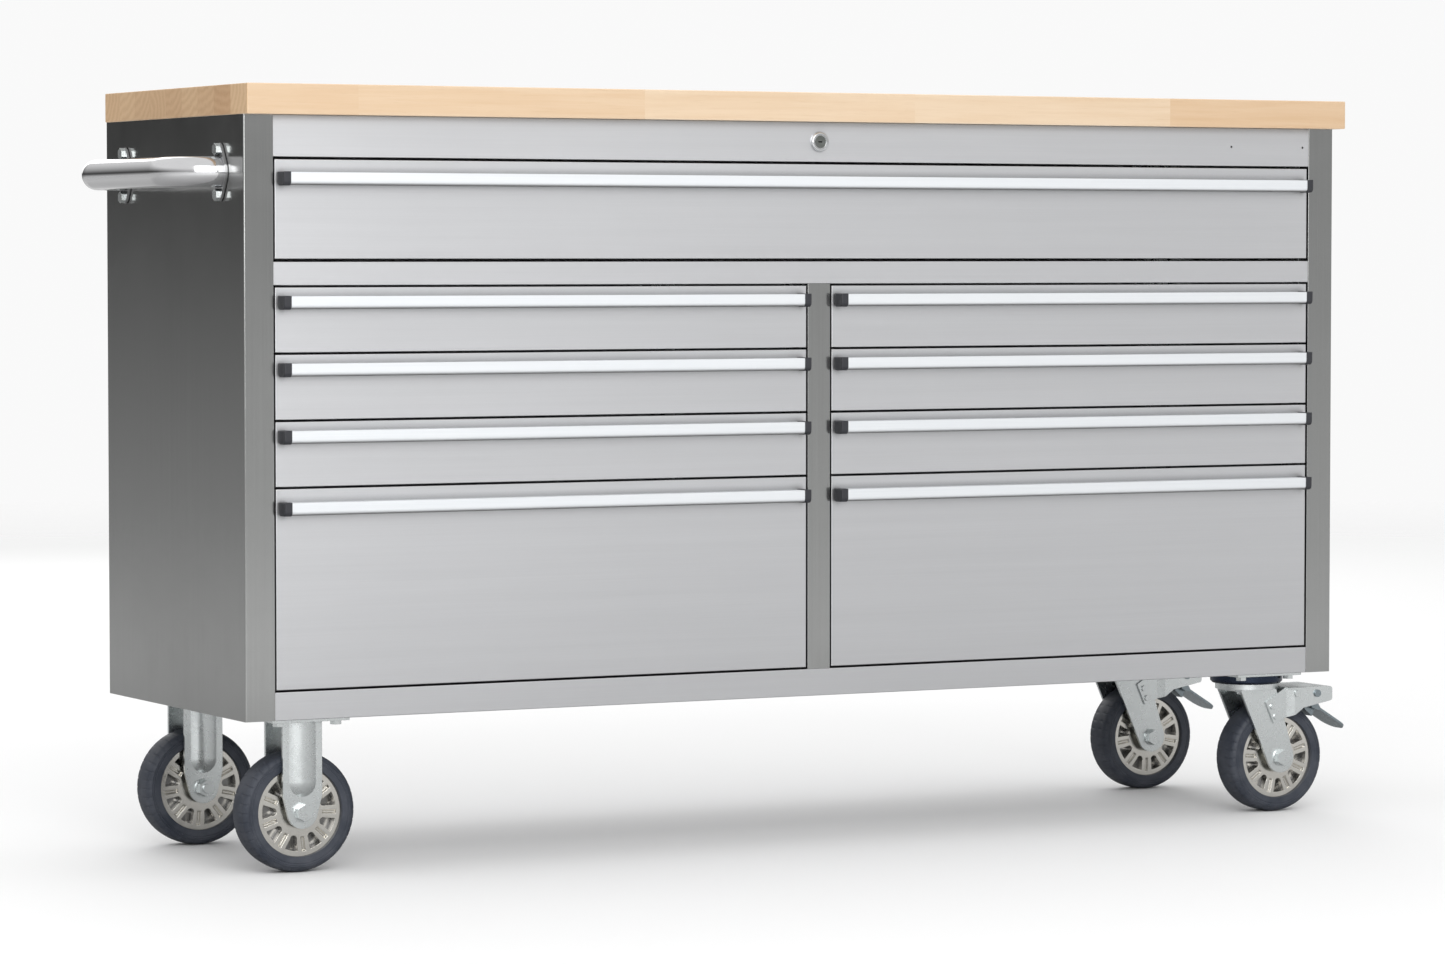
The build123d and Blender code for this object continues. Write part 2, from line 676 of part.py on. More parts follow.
def make_brake_bracket(y):
    """Inverted channel riveted to the fork's legs: two tabs that jog outward, and a top plate."""
    x = swivel_x
    with BuildPart() as bracket:
        with BuildSketch(Plane.XY.offset(wheel_radius)):
            for side in (-1, 1):
                inner = [(5, leg_outer), (46, leg_outer), (54, bracket_inner), (bracket_end, bracket_inner)]
                outer = [(bracket_end, bracket_outer), (53, bracket_outer),
                         (45, leg_outer + bracket_sheet), (5, leg_outer + bracket_sheet)]
                with BuildLine():
                    Polyline(*[(x + along, y + side * out) for along, out in inner + outer], close=True)
                make_face()
        extrude(amount=100)
        with BuildSketch(side_plane(x, y + 50)) as outline:
            with BuildLine():
                Polyline((11, 151), (24, 122), (55, 133), (68, 142), (bracket_end, 151),
                         (bracket_end, fork_top), (42, fork_top), close=True)
            make_face()
            fillet(outline.vertices().sort_by(Axis.X)[-2:], 4.0)
        extrude(amount=100, mode=Mode.INTERSECT)
        block((x + 46, y - bracket_outer, fork_top - bracket_sheet),
              (x + bracket_end - 4, y + bracket_outer, fork_top))
        along_y(x + 57, fork_top - 8, y - bracket_outer - 2, y + bracket_outer + 2, 3.0)
        for side in (-1, 1):
            for rivet_x, rivet_z in ((22, 145), (27.5, 131)):
                faces = sorted((y + side * (leg_outer + 1), y + side * (leg_outer + bracket_sheet + 1.8)))
                along_y(x + rivet_x, rivet_z, *faces, 4.0)
            faces = sorted((y + side * bracket_outer, y + side * (bracket_outer + 2)))
            along_y(x + 57, fork_top - 8, *faces, 4.5)
        along_y(x + pedal_pivot[0], pedal_pivot[1], y - 50, y + 50,
                pivot_radius + running_gap, Mode.SUBTRACT)
    return bracket.part


def make_brake_pedal(y):
    """Foot pedal with its pivot pin, cheeks, brake shoe and sloping tongue."""
    x = swivel_x
    pivot_x, pivot_z = x + pedal_pivot[0], pedal_pivot[1]
    tongue_start, tongue_drop, tongue_half, tongue_sheet = (98.0, 141.0), 31.6, 23.0, 3.0
    slope = math.radians(tongue_drop)
    along = (math.cos(slope), 0, -math.sin(slope))
    above = (math.sin(slope), 0, math.cos(slope))
    tongue_length = (pedal_reach - tongue_sheet * math.sin(slope) - tongue_start[0]) / math.cos(slope)
    with BuildPart() as pedal:
        along_y(pivot_x, pivot_z, y - bracket_outer - 2, y + bracket_outer + 2, pivot_radius)
        for side in (-1, 1):
            faces = sorted((y + side * (bracket_outer + 0.3), y + side * (bracket_outer + 2.3)))
            along_y(pivot_x, pivot_z, *faces, 5.0)
        along_y(pivot_x, pivot_z, y - 30, y + 30, 6.0)
        for cheek in (tongue_half, -tongue_half + tongue_sheet):
            with BuildSketch(side_plane(x, y + cheek)):
                with BuildLine():
                    Polyline((85, 158), (94, 160), (108, 137), (103, 136), (93, 140), close=True)
                make_face()
            extrude(amount=tongue_sheet)
        with BuildSketch(side_plane(x, y + 15)):
            with BuildLine():
                Polyline((85, 158), (95, 158), (103, 138), (98, 127.5), (86, 137.5), close=True)
            make_face()
        extrude(amount=30)
        tongue_origin = (x + tongue_start[0], y, tongue_start[1])
        with BuildSketch(Plane(origin=tongue_origin, x_dir=along, z_dir=above)) as tongue:
            with Locations((tongue_length / 2, 0)):
                Rectangle(tongue_length, 2 * tongue_half)
            fillet(tongue.vertices().group_by(Axis.X)[-1], 18.0)
        extrude(amount=tongue_sheet)
    return pedal.part


# ---- Every piece, one file each -----------------------------------------------------------------
os.makedirs("parts", exist_ok=True)

export(make_worktop(), "worktop")
export(make_side_panel(left, 1), "left_side_panel")
export(make_side_panel(right, -1), "right_side_panel")
export(make_back_panel(), "back_panel")
export(make_base_pan(), "base_pan")
export(make_lock_rail(), "lock_rail")
export(make_rail(middle_rail_bottom, middle_rail_top), "middle_rail")
export(make_rail(cabinet_bottom, bottom_rail_top), "bottom_rail")
export(make_centre_partition(), "centre_partition")
export(make_slide_uprights(), "slide_uprights")
export(make_slide_rails(), "slide_rails")
export(make_push_handle(), "push_handle")
export(make_m8_bolts(), "m8_bolts")
export(make_lock_housing(), "lock_housing")
export(make_lock_plug(), "lock_plug")

for drawer in all_drawers:
    export(make_tray(drawer), f"{drawer.name}_tray")
    export(make_pull(drawer), f"{drawer.name}_pull")
    export(make_end_caps(drawer), f"{drawer.name}_end_caps")

export(group(*(make_rigid_fork(y) for y in caster_y.values())), "rigid_caster_forks")
export(group(make_axle(rigid_x, caster_y["front"], -1), make_axle(rigid_x, caster_y["rear"], 1)),
       "rigid_caster_axles")
export(group(*(make_swivel_plate(y) for y in caster_y.values())), "swivel_plates")
window_turn = {"front_rigid": 17.5, "rear_rigid": 6.5, "front_swivel": 36.0, "rear_swivel": 9.0}
for place, y in caster_y.items():
    for kind, x in (("rigid", rigid_x), ("swivel", swivel_x + caster_trail)):
        export(make_rim(x, y, window_turn[f"{place}_{kind}"]), f"{place}_{kind}_wheel_rim")
        export(make_tyre(x, y), f"{place}_{kind}_wheel_tyre")
    export(group(make_swivel_yoke(y), make_brake_bracket(y)), f"{place}_swivel_fork")
    export(make_axle(swivel_x + caster_trail, y, -1), f"{place}_swivel_axle")
    export(make_brake_pedal(y), f"{place}_brake_pedal")
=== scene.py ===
"""Rolling tool chest: looks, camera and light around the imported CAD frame."""
import json
import math

import bmesh
import bpy
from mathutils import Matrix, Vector


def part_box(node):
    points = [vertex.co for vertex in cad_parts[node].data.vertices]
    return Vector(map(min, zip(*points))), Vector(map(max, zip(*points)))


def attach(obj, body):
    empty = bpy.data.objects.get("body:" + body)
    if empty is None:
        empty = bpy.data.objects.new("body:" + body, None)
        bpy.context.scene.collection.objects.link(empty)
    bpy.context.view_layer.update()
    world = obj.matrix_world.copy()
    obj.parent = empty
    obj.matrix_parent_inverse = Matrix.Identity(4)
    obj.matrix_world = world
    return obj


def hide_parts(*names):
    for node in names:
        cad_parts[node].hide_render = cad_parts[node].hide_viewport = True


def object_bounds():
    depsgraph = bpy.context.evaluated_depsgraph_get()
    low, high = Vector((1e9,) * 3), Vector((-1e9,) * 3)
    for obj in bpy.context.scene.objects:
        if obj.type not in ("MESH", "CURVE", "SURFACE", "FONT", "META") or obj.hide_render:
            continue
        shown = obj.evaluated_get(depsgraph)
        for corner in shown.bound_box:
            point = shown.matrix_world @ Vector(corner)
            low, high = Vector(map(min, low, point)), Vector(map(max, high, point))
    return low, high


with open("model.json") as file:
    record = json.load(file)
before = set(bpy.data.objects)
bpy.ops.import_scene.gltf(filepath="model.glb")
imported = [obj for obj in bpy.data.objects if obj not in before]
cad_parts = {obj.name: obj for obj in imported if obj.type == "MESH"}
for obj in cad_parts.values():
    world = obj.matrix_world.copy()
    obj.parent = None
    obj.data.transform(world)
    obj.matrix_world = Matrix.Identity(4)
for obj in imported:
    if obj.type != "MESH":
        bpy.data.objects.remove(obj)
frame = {"nodes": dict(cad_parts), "record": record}

cad_bounds = [[float(v) for v in corner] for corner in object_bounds()]
MM = 0.001
nodes = frame["nodes"]
bodies = frame["record"]["behaviour"]["bodies"]
body_of_node = {node: body for body, members in bodies.items() for node in members}
slot_of_node = {part["node"]: part["material_slot"] for part in frame["record"]["subparts"]}


# ---- Node graphs --------------------------------------------------------------------------------
class Shader:
    """One procedural material, built node by node."""

    def __init__(self, name):
        self.material = bpy.data.materials.new(name)
        self.material.use_nodes = True
        self.tree = self.material.node_tree
        self.surface = self.tree.nodes["Principled BSDF"]
        self.coordinates = self.tree.nodes.new("ShaderNodeTexCoord")
        self.position = self.coordinates.outputs["Object"]

    def put(self, socket, value):
        """Link a socket into an input, or set the input's own value."""
        if isinstance(value, bpy.types.NodeSocket):
            self.tree.links.new(value, socket)
        else:
            socket.default_value = value

    def node(self, kind, **settings):
        made = self.tree.nodes.new(kind)
        for key, value in settings.items():
            setattr(made, key, value)
        return made

    def set(self, **values):
        """Principled inputs by name, with spaces written as underscores."""
        for key, value in values.items():
            self.put(self.surface.inputs[key.replace("_", " ")], value)

    def stretched(self, scale, vector=None, offset=(0, 0, 0)):
        mapping = self.node("ShaderNodeMapping")
        self.put(mapping.inputs["Vector"], vector or self.position)
        mapping.inputs["Scale"].default_value = scale
        mapping.inputs["Location"].default_value = offset
        return mapping.outputs["Vector"]

    def noise(self, vector, scale=1.0, detail=3.0, roughness=0.5, distortion=0.0):
        made = self.node("ShaderNodeTexNoise")
        self.put(made.inputs["Vector"], vector)
        made.inputs["Scale"].default_value = scale
        made.inputs["Detail"].default_value = detail
        made.inputs["Roughness"].default_value = roughness
        made.inputs["Distortion"].default_value = distortion
        return made.outputs["Fac"]

    def random(self, vector):
        made = self.node("ShaderNodeTexWhiteNoise", noise_dimensions="3D")
        self.put(made.inputs["Vector"], vector)
        return made.outputs["Value"]

    def split(self, vector):
        made = self.node("ShaderNodeSeparateXYZ")
        self.put(made.inputs[0], vector)
        return made.outputs["X"], made.outputs["Y"], made.outputs["Z"]

    def join(self, x, y, z):
        made = self.node("ShaderNodeCombineXYZ")
        for socket, value in zip(made.inputs, (x, y, z)):
            self.put(socket, value)
        return made.outputs[0]

    def math(self, operation, a, b=0.0, clamp=False):
        made = self.node("ShaderNodeMath", operation=operation, use_clamp=clamp)
        self.put(made.inputs[0], a)
        self.put(made.inputs[1], b)
        return made.outputs[0]

    def remap(self, value, low, high, to_low, to_high):
        made = self.node("ShaderNodeMapRange")
        for socket, number in zip(made.inputs[:5], (value, low, high, to_low, to_high)):
            self.put(socket, number)
        return made.outputs["Result"]

    def mix(self, factor, a, b, blend="MIX"):
        made = self.node("ShaderNodeMix", data_type="RGBA", blend_type=blend)
        self.put(made.inputs["Factor"], factor)
        self.put(made.inputs[6], a if isinstance(a, bpy.types.NodeSocket) else (*a, 1.0))
        self.put(made.inputs[7], b if isinstance(b, bpy.types.NodeSocket) else (*b, 1.0))
        return made.outputs[2]

    def ramp(self, value, stops):
        made = self.node("ShaderNodeValToRGB")
        elements = made.color_ramp.elements
        while len(elements) < len(stops):
            elements.new(0.5)
        for element, (place, colour) in zip(elements, stops):
            element.position = place
            element.color = (*colour, 1.0)
        self.put(made.inputs["Fac"], value)
        return made.outputs["Color"]

    def openness(self, reach):
        """One where a surface lies open, falling to zero in seams and under overhangs."""
        made = self.node("ShaderNodeAmbientOcclusion", samples=8)
        made.inputs["Distance"].default_value = reach
        return made.outputs["AO"]

    def near(self, value, place):
        """Distance of a coordinate from a place along the same axis."""
        return self.math("ABSOLUTE", self.math("SUBTRACT", value, place))

    def bump(self, height, strength, distance=MM, edge_radius=0.0):
        """Surface relief, and edges rounded to a radius where one is given."""
        made = self.node("ShaderNodeBump")
        made.inputs["Strength"].default_value = strength
        made.inputs["Distance"].default_value = distance
        self.put(made.inputs["Height"], height)
        if edge_radius:
            rounded = self.node("ShaderNodeBevel", samples=4)
            rounded.inputs["Radius"].default_value = edge_radius
            self.put(made.inputs["Normal"], rounded.outputs[0])
        self.set(Normal=made.outputs["Normal"])


# ---- Materials ----------------------------------------------------------------------------------
def middle_of(node):
    """Middle of a CAD piece's box."""
    low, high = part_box(node)
    return [(a + b) / 2 for a, b in zip(low, high)]


WHEEL_Y = {place: middle_of(f"{place}_rigid_wheel_rim")[1] for place in ("front", "rear")}


def scaled(colour, factor):
    """A colour made lighter or darker, kept within range."""
    return tuple(min(1.0, channel * factor) for channel in colour)


def brushed_steel(name="brushed_steel", colour=(0.67, 0.675, 0.69), roughness=0.40, along="X"):
    """Stainless sheet with fine brush lines along one axis and a faint cloudiness, with painted
    shade darkening its seams and the face under overhangs such as the pulls.
    """
    shader = Shader(name)
    fine, broad, slow, wide = 650.0, 90.0, 5.0, 1.2
    fine_scale = {"X": (slow, fine, fine), "Y": (fine, slow, fine)}[along]
    broad_scale = {"X": (wide, broad, broad), "Y": (broad, wide, broad)}[along]
    lines = shader.noise(shader.stretched(fine_scale), 1.0, 4.0, 0.65)
    bands = shader.noise(shader.stretched(broad_scale), 1.0, 3.0, 0.6)
    clouds = shader.noise(shader.position, 2.2, 2.0, 0.5)
    tone = shader.math("MULTIPLY", shader.math("ADD", lines, bands), 0.5)
    unshaded = shader.mix(tone, scaled(colour, 0.92), scaled(colour, 1.07))
    # painted shade: ambient occlusion darkens the base colour in seams, gaps between drawers and
    # under the pulls
    shade_reach, seam_shade_tone = 13.0 * MM, 0.40
    seams = shader.remap(shader.openness(shade_reach), 0.25, 0.90, seam_shade_tone, 1.0)
    shade = shader.join(seams, seams, seams)
    shader.set(Base_Color=shader.mix(1.0, unshaded, shade, "MULTIPLY"), Metallic=1.0)
    spread = shader.math("ADD", shader.math("MULTIPLY", lines, 0.10),
                         shader.math("MULTIPLY", clouds, 0.08))
    shader.set(Roughness=shader.math("ADD", spread, roughness - 0.09))
    shader.bump(lines, 0.10, 0.05 * MM)
    return shader.material


def polished_steel(name="polished_steel", colour=(0.365, 0.37, 0.365), roughness=0.11):
    """Mirror-like stainless sheet with the slow waviness of thin rolled metal."""
    shader = Shader(name)
    waves = shader.noise(shader.stretched((3.0, 5.0, 2.2)), 1.0, 1.5, 0.4)
    lines = shader.noise(shader.stretched((350.0, 350.0, 2.5)), 1.0, 3.0, 0.6)
    smudges = shader.noise(shader.position, 7.0, 4.0, 0.6)
    tint = shader.mix(lines, scaled(colour, 0.92), scaled(colour, 1.06))
    shader.set(Base_Color=tint, Metallic=1.0)
    shader.set(Roughness=shader.remap(smudges, 0.35, 0.75, roughness, roughness + 0.08))
    shader.bump(waves, 0.30, 1.2 * MM)
    return shader.material


def zinc(name="zinc", colour=(0.77, 0.805, 0.805), roughness=0.27):
    """Bright zinc plating: blue-grey mottling and tiny grains. The upper ball races are black."""
    shader = Shader(name)
    mottle = shader.noise(shader.position, 60.0, 4.0, 0.6)
    grains = shader.noise(shader.position, 900.0, 2.0, 0.5)
    plated = shader.mix(mottle, scaled(colour, 0.92), scaled(colour, 1.04))
    race_radius, race_drop, race_half_height = 50.0 * MM, 10.1 * MM, 6.0 * MM
    low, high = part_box("swivel_plates")
    x, y, z = shader.split(shader.position)
    from_x = shader.near(x, (low[0] + high[0]) / 2)
    from_y = [shader.near(y, WHEEL_Y[place]) for place in ("front", "rear")]
    offset = shader.join(from_x, shader.math("MINIMUM", *from_y), 0.0)
    radius = shader.node("ShaderNodeVectorMath", operation="LENGTH")
    shader.put(radius.inputs[0], offset)
    inside = shader.math("LESS_THAN", radius.outputs["Value"], race_radius)
    level = shader.math("LESS_THAN", shader.near(z, high[2] - race_drop), race_half_height)
    black = shader.math("MULTIPLY", inside, level)
    shader.set(Base_Color=shader.mix(black, plated, (0.035, 0.045, 0.07)), Metallic=1.0)
    shader.set(Roughness=shader.remap(mottle, 0.3, 0.7, roughness - 0.03, roughness + 0.04))
    shader.bump(grains, 0.04, 0.04 * MM, 0.6 * MM)
    return shader.material


def anodised(name="anodised"):
    """Satin silver anodised extrusion with faint lines along its length, with painted shade
    darkening the faces that point downward.
    """
    shader = Shader(name)
    lines = shader.noise(shader.stretched((4.0, 900.0, 900.0)), 1.0, 3.0, 0.6)
    unshaded = shader.mix(lines, (0.75, 0.775, 0.80), (0.83, 0.85, 0.87))
    geometry = shader.node("ShaderNodeNewGeometry")
    # painted shade: faces that point downward, such as the pull's underside and hollow, are
    # darkened
    shaded_underside = shader.remap(shader.split(geometry.outputs["Normal"])[2], -0.4, -0.9, 0.0, 1.0)
    shader.set(Base_Color=shader.mix(shaded_underside, unshaded, (0.16, 0.16, 0.155)), Metallic=0.6)
    shader.set(Roughness=shader.remap(lines, 0.2, 0.8, 0.45, 0.53))
    shader.bump(lines, 0.08, 0.04 * MM)
    return shader.material


def cast_aluminium(name="cast_aluminium"):
    """Champagne-tinted cast wheel metal, polished on its faces, with painted shade darkening it
    inside its windows.
    """
    shader = Shader(name)
    mottle = shader.noise(shader.position, 90.0, 4.0, 0.6)
    polished = shader.mix(mottle, (0.70, 0.68, 0.63), (0.82, 0.80, 0.75))
    pocket_shade_tone = shader.mix(mottle, (0.17, 0.17, 0.17), (0.30, 0.295, 0.285))
    # painted shade: metal nearer the wheel's middle plane than the faces, inside the windows, is
    # darkened
    face_offset, pocket_offset = 15.0 * MM, 8.0 * MM
    y = shader.split(shader.position)[1]
    offsets = [shader.near(y, WHEEL_Y[place]) for place in ("front", "rear")]
    from_middle = shader.math("MINIMUM", *offsets)
    in_pocket_shade = shader.remap(from_middle, face_offset, pocket_offset, 0.0, 1.0)
    shader.set(Base_Color=shader.mix(in_pocket_shade, polished, pocket_shade_tone), Metallic=1.0)
    shader.set(Roughness=shader.remap(mottle, 0.3, 0.7, 0.16, 0.26))
    shader.bump(shader.noise(shader.position, 1400.0, 2.0), 0.05, 0.05 * MM, 1.2 * MM)
    return shader.material


def rubber(name="tyre_rubber"):
    """Dark blue-grey rubber with a fine grain and a little dust."""
    shader = Shader(name)
    dust = shader.noise(shader.position, 28.0, 5.0, 0.65)
    grain = shader.noise(shader.position, 1500.0, 2.0, 0.5)
    dusty = shader.remap(dust, 0.35, 0.75, 0.0, 1.0)
    shader.set(Base_Color=shader.mix(dusty, (0.020, 0.026, 0.040), (0.060, 0.066, 0.082)))
    shader.set(Roughness=shader.remap(dust, 0.3, 0.7, 0.46, 0.64))
    shader.bump(grain, 0.25, 0.05 * MM)
    return shader.material


def plastic(name="black_plastic"):
    """Black moulded plastic with a fine spark-eroded texture."""
    shader = Shader(name)
    grain = shader.noise(shader.position, 1800.0, 2.0, 0.5)
    shader.set(Base_Color=shader.mix(grain, (0.014, 0.015, 0.019), (0.030, 0.031, 0.038)))
    shader.set(Roughness=shader.remap(grain, 0.3, 0.7, 0.40, 0.52))
    shader.bump(grain, 0.35, 0.06 * MM, 0.8 * MM)
    return shader.material


def chrome(name="chrome"):
    """Bright plated lock metal with a trace of haze, a greyer plug, and painted shade making the
    inside of the key slot near black.
    """
    shader = Shader(name)
    haze = shader.noise(shader.position, 120.0, 3.0, 0.6)
    plug_radius, ring_radius = 7.5 * MM, 8.8 * MM
    slot_radius, slot_depth = 4.0 * MM, 1.2 * MM
    low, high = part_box("lock_housing")
    x, y, z = shader.split(shader.position)
    offset = shader.join(shader.math("SUBTRACT", x, (low[0] + high[0]) / 2), 0.0,
                         shader.math("SUBTRACT", z, (low[2] + high[2]) / 2))
    radius = shader.node("ShaderNodeVectorMath", operation="LENGTH")
    shader.put(radius.inputs[0], offset)
    on_plug = shader.remap(radius.outputs["Value"], plug_radius, ring_radius, 1.0, 0.0)
    # painted shade: surfaces near the axis sunk deeper than the slot depth are made near black
    near_axis = shader.math("LESS_THAN", radius.outputs["Value"], slot_radius)
    sunk = shader.math("GREATER_THAN", y, low[1] + slot_depth)
    slot_painted_shade = shader.math("MULTIPLY", near_axis, sunk)
    plated = shader.mix(haze, (0.62, 0.63, 0.64), (0.74, 0.75, 0.76))
    plug = shader.mix(haze, (0.20, 0.215, 0.20), (0.34, 0.355, 0.34))
    face = shader.mix(on_plug, plated, plug)
    shader.set(Base_Color=shader.mix(slot_painted_shade, face, (0.01, 0.01, 0.01)), Metallic=1.0)
    shader.set(Roughness=shader.remap(haze, 0.3, 0.8, 0.06, 0.15))
    shader.bump(haze, 0.05, 0.05 * MM, 0.5 * MM)
    return shader.material


def dark_metal(name="dark_zinc"):
    """Dark passivated steel of the brake pedals."""
    shader = Shader(name)
    mottle = shader.noise(shader.position, 120.0, 4.0, 0.6)
    tint = shader.mix(mottle, (0.22, 0.265, 0.29), (0.36, 0.41, 0.435))
    shader.set(Base_Color=tint, Metallic=0.9)
    shader.set(Roughness=shader.remap(mottle, 0.3, 0.7, 0.24, 0.36))
    shader.bump(mottle, 0.10, 0.1 * MM, 0.8 * MM)
    return shader.material


def butcher_block(name="butcher_block"):
    """Edge-glued staves, finger-jointed end to end, with end grain on the short sides."""
    low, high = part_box("worktop")
    staves, stave_length = 9, 0.39
    stave_width = (high[1] - low[1]) / staves
    shader = Shader(name)
    x, y, z = shader.split(shader.position)
    row_place = shader.math("DIVIDE", shader.math("SUBTRACT", y, low[1]), stave_width)
    row = shader.math("FLOOR", row_place)
    shift = shader.random(shader.join(row, 3.7, 1.3))
    along = shader.math("ADD", shader.math("DIVIDE", x, stave_length),
                        shader.math("MULTIPLY", shift, 7.0))
    piece = shader.math("FLOOR", along)
    tone = shader.random(shader.join(piece, row, 9.1))
    second = shader.random(shader.join(row, piece, 4.2))
    # long grain
    seed = shader.math("MULTIPLY", tone, 40.0)
    moved = shader.join(shader.math("ADD", x, seed), y, shader.math("ADD", z, seed))
    streaks = shader.noise(shader.stretched((5.0, 160.0, 160.0), moved), 1.0, 4.0, 0.6, 0.3)
    figure = shader.noise(shader.stretched((2.2, 26.0, 26.0), moved), 1.0, 3.0, 0.55, 1.2)
    pores = shader.noise(shader.stretched((40.0, 1100.0, 1100.0), moved), 1.0, 2.0, 0.5)
    base = shader.ramp(tone, [(0.0, (0.735, 0.535, 0.355)), (0.35, (0.795, 0.615, 0.435)),
                              (0.70, (0.835, 0.675, 0.500)), (1.0, (0.855, 0.715, 0.550))])
    grain = shader.math("ADD", shader.math("MULTIPLY", streaks, 0.55),
                        shader.math("MULTIPLY", figure, 0.45))
    darker = shader.mix(1.0, base, (0.84, 0.74, 0.63), "MULTIPLY")
    long_colour = shader.mix(shader.remap(grain, 0.42, 0.72, 0.0, 0.75), base, darker)
    on_pore = shader.remap(pores, 0.60, 0.78, 0.0, 0.30)
    long_colour = shader.mix(on_pore, long_colour, (0.52, 0.37, 0.23))
    # end grain: growth rings round a centre that differs from stave to stave
    ring_y = shader.math("SUBTRACT", shader.math("FRACT", row_place),
                         shader.math("MULTIPLY", second, 1.6))
    height = shader.math("DIVIDE", shader.math("SUBTRACT", z, low[2]), stave_width)
    ring_z = shader.math("SUBTRACT", height, shader.math("MULTIPLY", tone, 2.4))
    radius = shader.math("SQRT", shader.math("ADD", shader.math("MULTIPLY", ring_y, ring_y),
                                             shader.math("MULTIPLY", ring_z, ring_z)))
    wobble = shader.noise(shader.position, 50.0, 3.0, 0.6)
    rings = shader.math("SINE", shader.math("ADD", shader.math("MULTIPLY", radius, 30.0),
                                            shader.math("MULTIPLY", wobble, 8.0)))
    speckle = shader.noise(shader.position, 500.0, 3.0, 0.6)
    ring_tone = shader.math("MULTIPLY", shader.remap(rings, -1.0, 1.0, 0.0, 0.38),
                            shader.remap(speckle, 0.3, 0.7, 0.5, 1.3))
    end_base = shader.mix(second, (0.50, 0.305, 0.165), (0.64, 0.445, 0.265))
    end_dark = shader.mix(1.0, end_base, (0.72, 0.62, 0.52), "MULTIPLY")
    end_colour = shader.mix(ring_tone, end_base, end_dark)
    geometry = shader.node("ShaderNodeNewGeometry")
    normal_x, _, normal_z = shader.split(geometry.outputs["Normal"])
    on_end = shader.math("GREATER_THAN", shader.math("ABSOLUTE", normal_x), 0.6)
    colour = shader.mix(on_end, long_colour, end_colour)
    # painted shade: the top working face is made a little deeper in tone than the sawn edges
    top_painted_shade = shader.math("GREATER_THAN", normal_z, 0.8)
    colour = shader.mix(top_painted_shade, colour, shader.mix(1.0, colour, (0.86, 0.82, 0.77), "MULTIPLY"))
    # glue lines between staves and at the joints
    across = shader.near(shader.math("FRACT", row_place), 0.5)
    lengthwise = shader.near(shader.math("FRACT", along), 0.5)
    end_joint = shader.math("MULTIPLY", shader.remap(lengthwise, 0.4990, 0.4997, 0.0, 1.0),
                            shader.math("SUBTRACT", 1.0, on_end))
    glue = shader.math("MAXIMUM", shader.remap(across, 0.494, 0.4990, 0.0, 1.0), end_joint)
    colour = shader.mix(shader.math("MULTIPLY", glue, 0.45), colour, (0.40, 0.26, 0.14))
    shader.set(Base_Color=colour, Roughness=shader.remap(grain, 0.3, 0.8, 0.42, 0.56),
               Coat_Weight=0.08, Coat_Roughness=0.35)
    shader.bump(shader.math("ADD", grain, shader.math("MULTIPLY", pores, 0.4)), 0.18, 0.15 * MM)
    return shader.material


MATERIALS = {
    "butcher_block": butcher_block(),
    "brushed_steel": brushed_steel(),
    "polished_steel": polished_steel(),
    "handle_steel": brushed_steel("handle_steel", (0.66, 0.66, 0.67), 0.10, "Y"),
    "zinc": zinc(),
    "dark_zinc": dark_metal(),
    "chrome": chrome(),
    "anodised": anodised(),
    "black_plastic": plastic(),
    "cast_aluminium": cast_aluminium(),
    "tyre_rubber": rubber(),
}


# ---- Pieces -------------------------------------------------------------------------------------
RIM_RADIUS = 55.5 * MM


def smooth(mesh, degrees=35.0):
    """Smooth shading with sharp edges kept where the surface really turns."""
    mesh.shade_smooth()
    mesh.set_sharp_from_angle(angle=math.radians(degrees))


def add_piece(name, mesh, body, node):
    """A finished mesh that rides on a body and stands for one CAD node."""
    mesh.materials.append(MATERIALS[slot_of_node[node]])
    smooth(mesh)
    piece = bpy.data.objects.new(name, mesh)
    bpy.context.scene.collection.objects.link(piece)
    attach(piece, body)
    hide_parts(node)
    return piece


def tyre_profile(inner, outer, half_width):
    """Points (radius, offset from the middle) of half a tyre's section, from seat to crown."""
    shoulder, crown_drop = 9.5 * MM, 0.9 * MM
    ring, ring_half, ring_depth = inner + 8.6 * MM, 0.5 * MM, 0.5 * MM
    step, step_half, step_depth = outer - 8.0 * MM, 0.45 * MM, 0.55 * MM
    points = [(inner, half_width - 1.2 * MM), (inner + 0.8 * MM, half_width - 0.3 * MM)]
    for place, half, depth in ((ring, ring_half, ring_depth), (step, step_half, step_depth)):
        points += [(place - 2 * half, half_width), (place - half, half_width - depth),
                   (place + half, half_width - depth), (place + 2 * half, half_width)]
    for turn in range(0, 91, 9):
        angle = math.radians(turn)
        radius = outer - crown_drop - shoulder + shoulder * math.sin(angle)
        if radius > step + 2.5 * step_half:
            points.append((radius, half_width - shoulder + shoulder * math.cos(angle)))
    flat = half_width - shoulder
    points += [(outer - crown_drop * share * share, flat * share) for share in (0.7, 0.4, 0.0)]
    return points


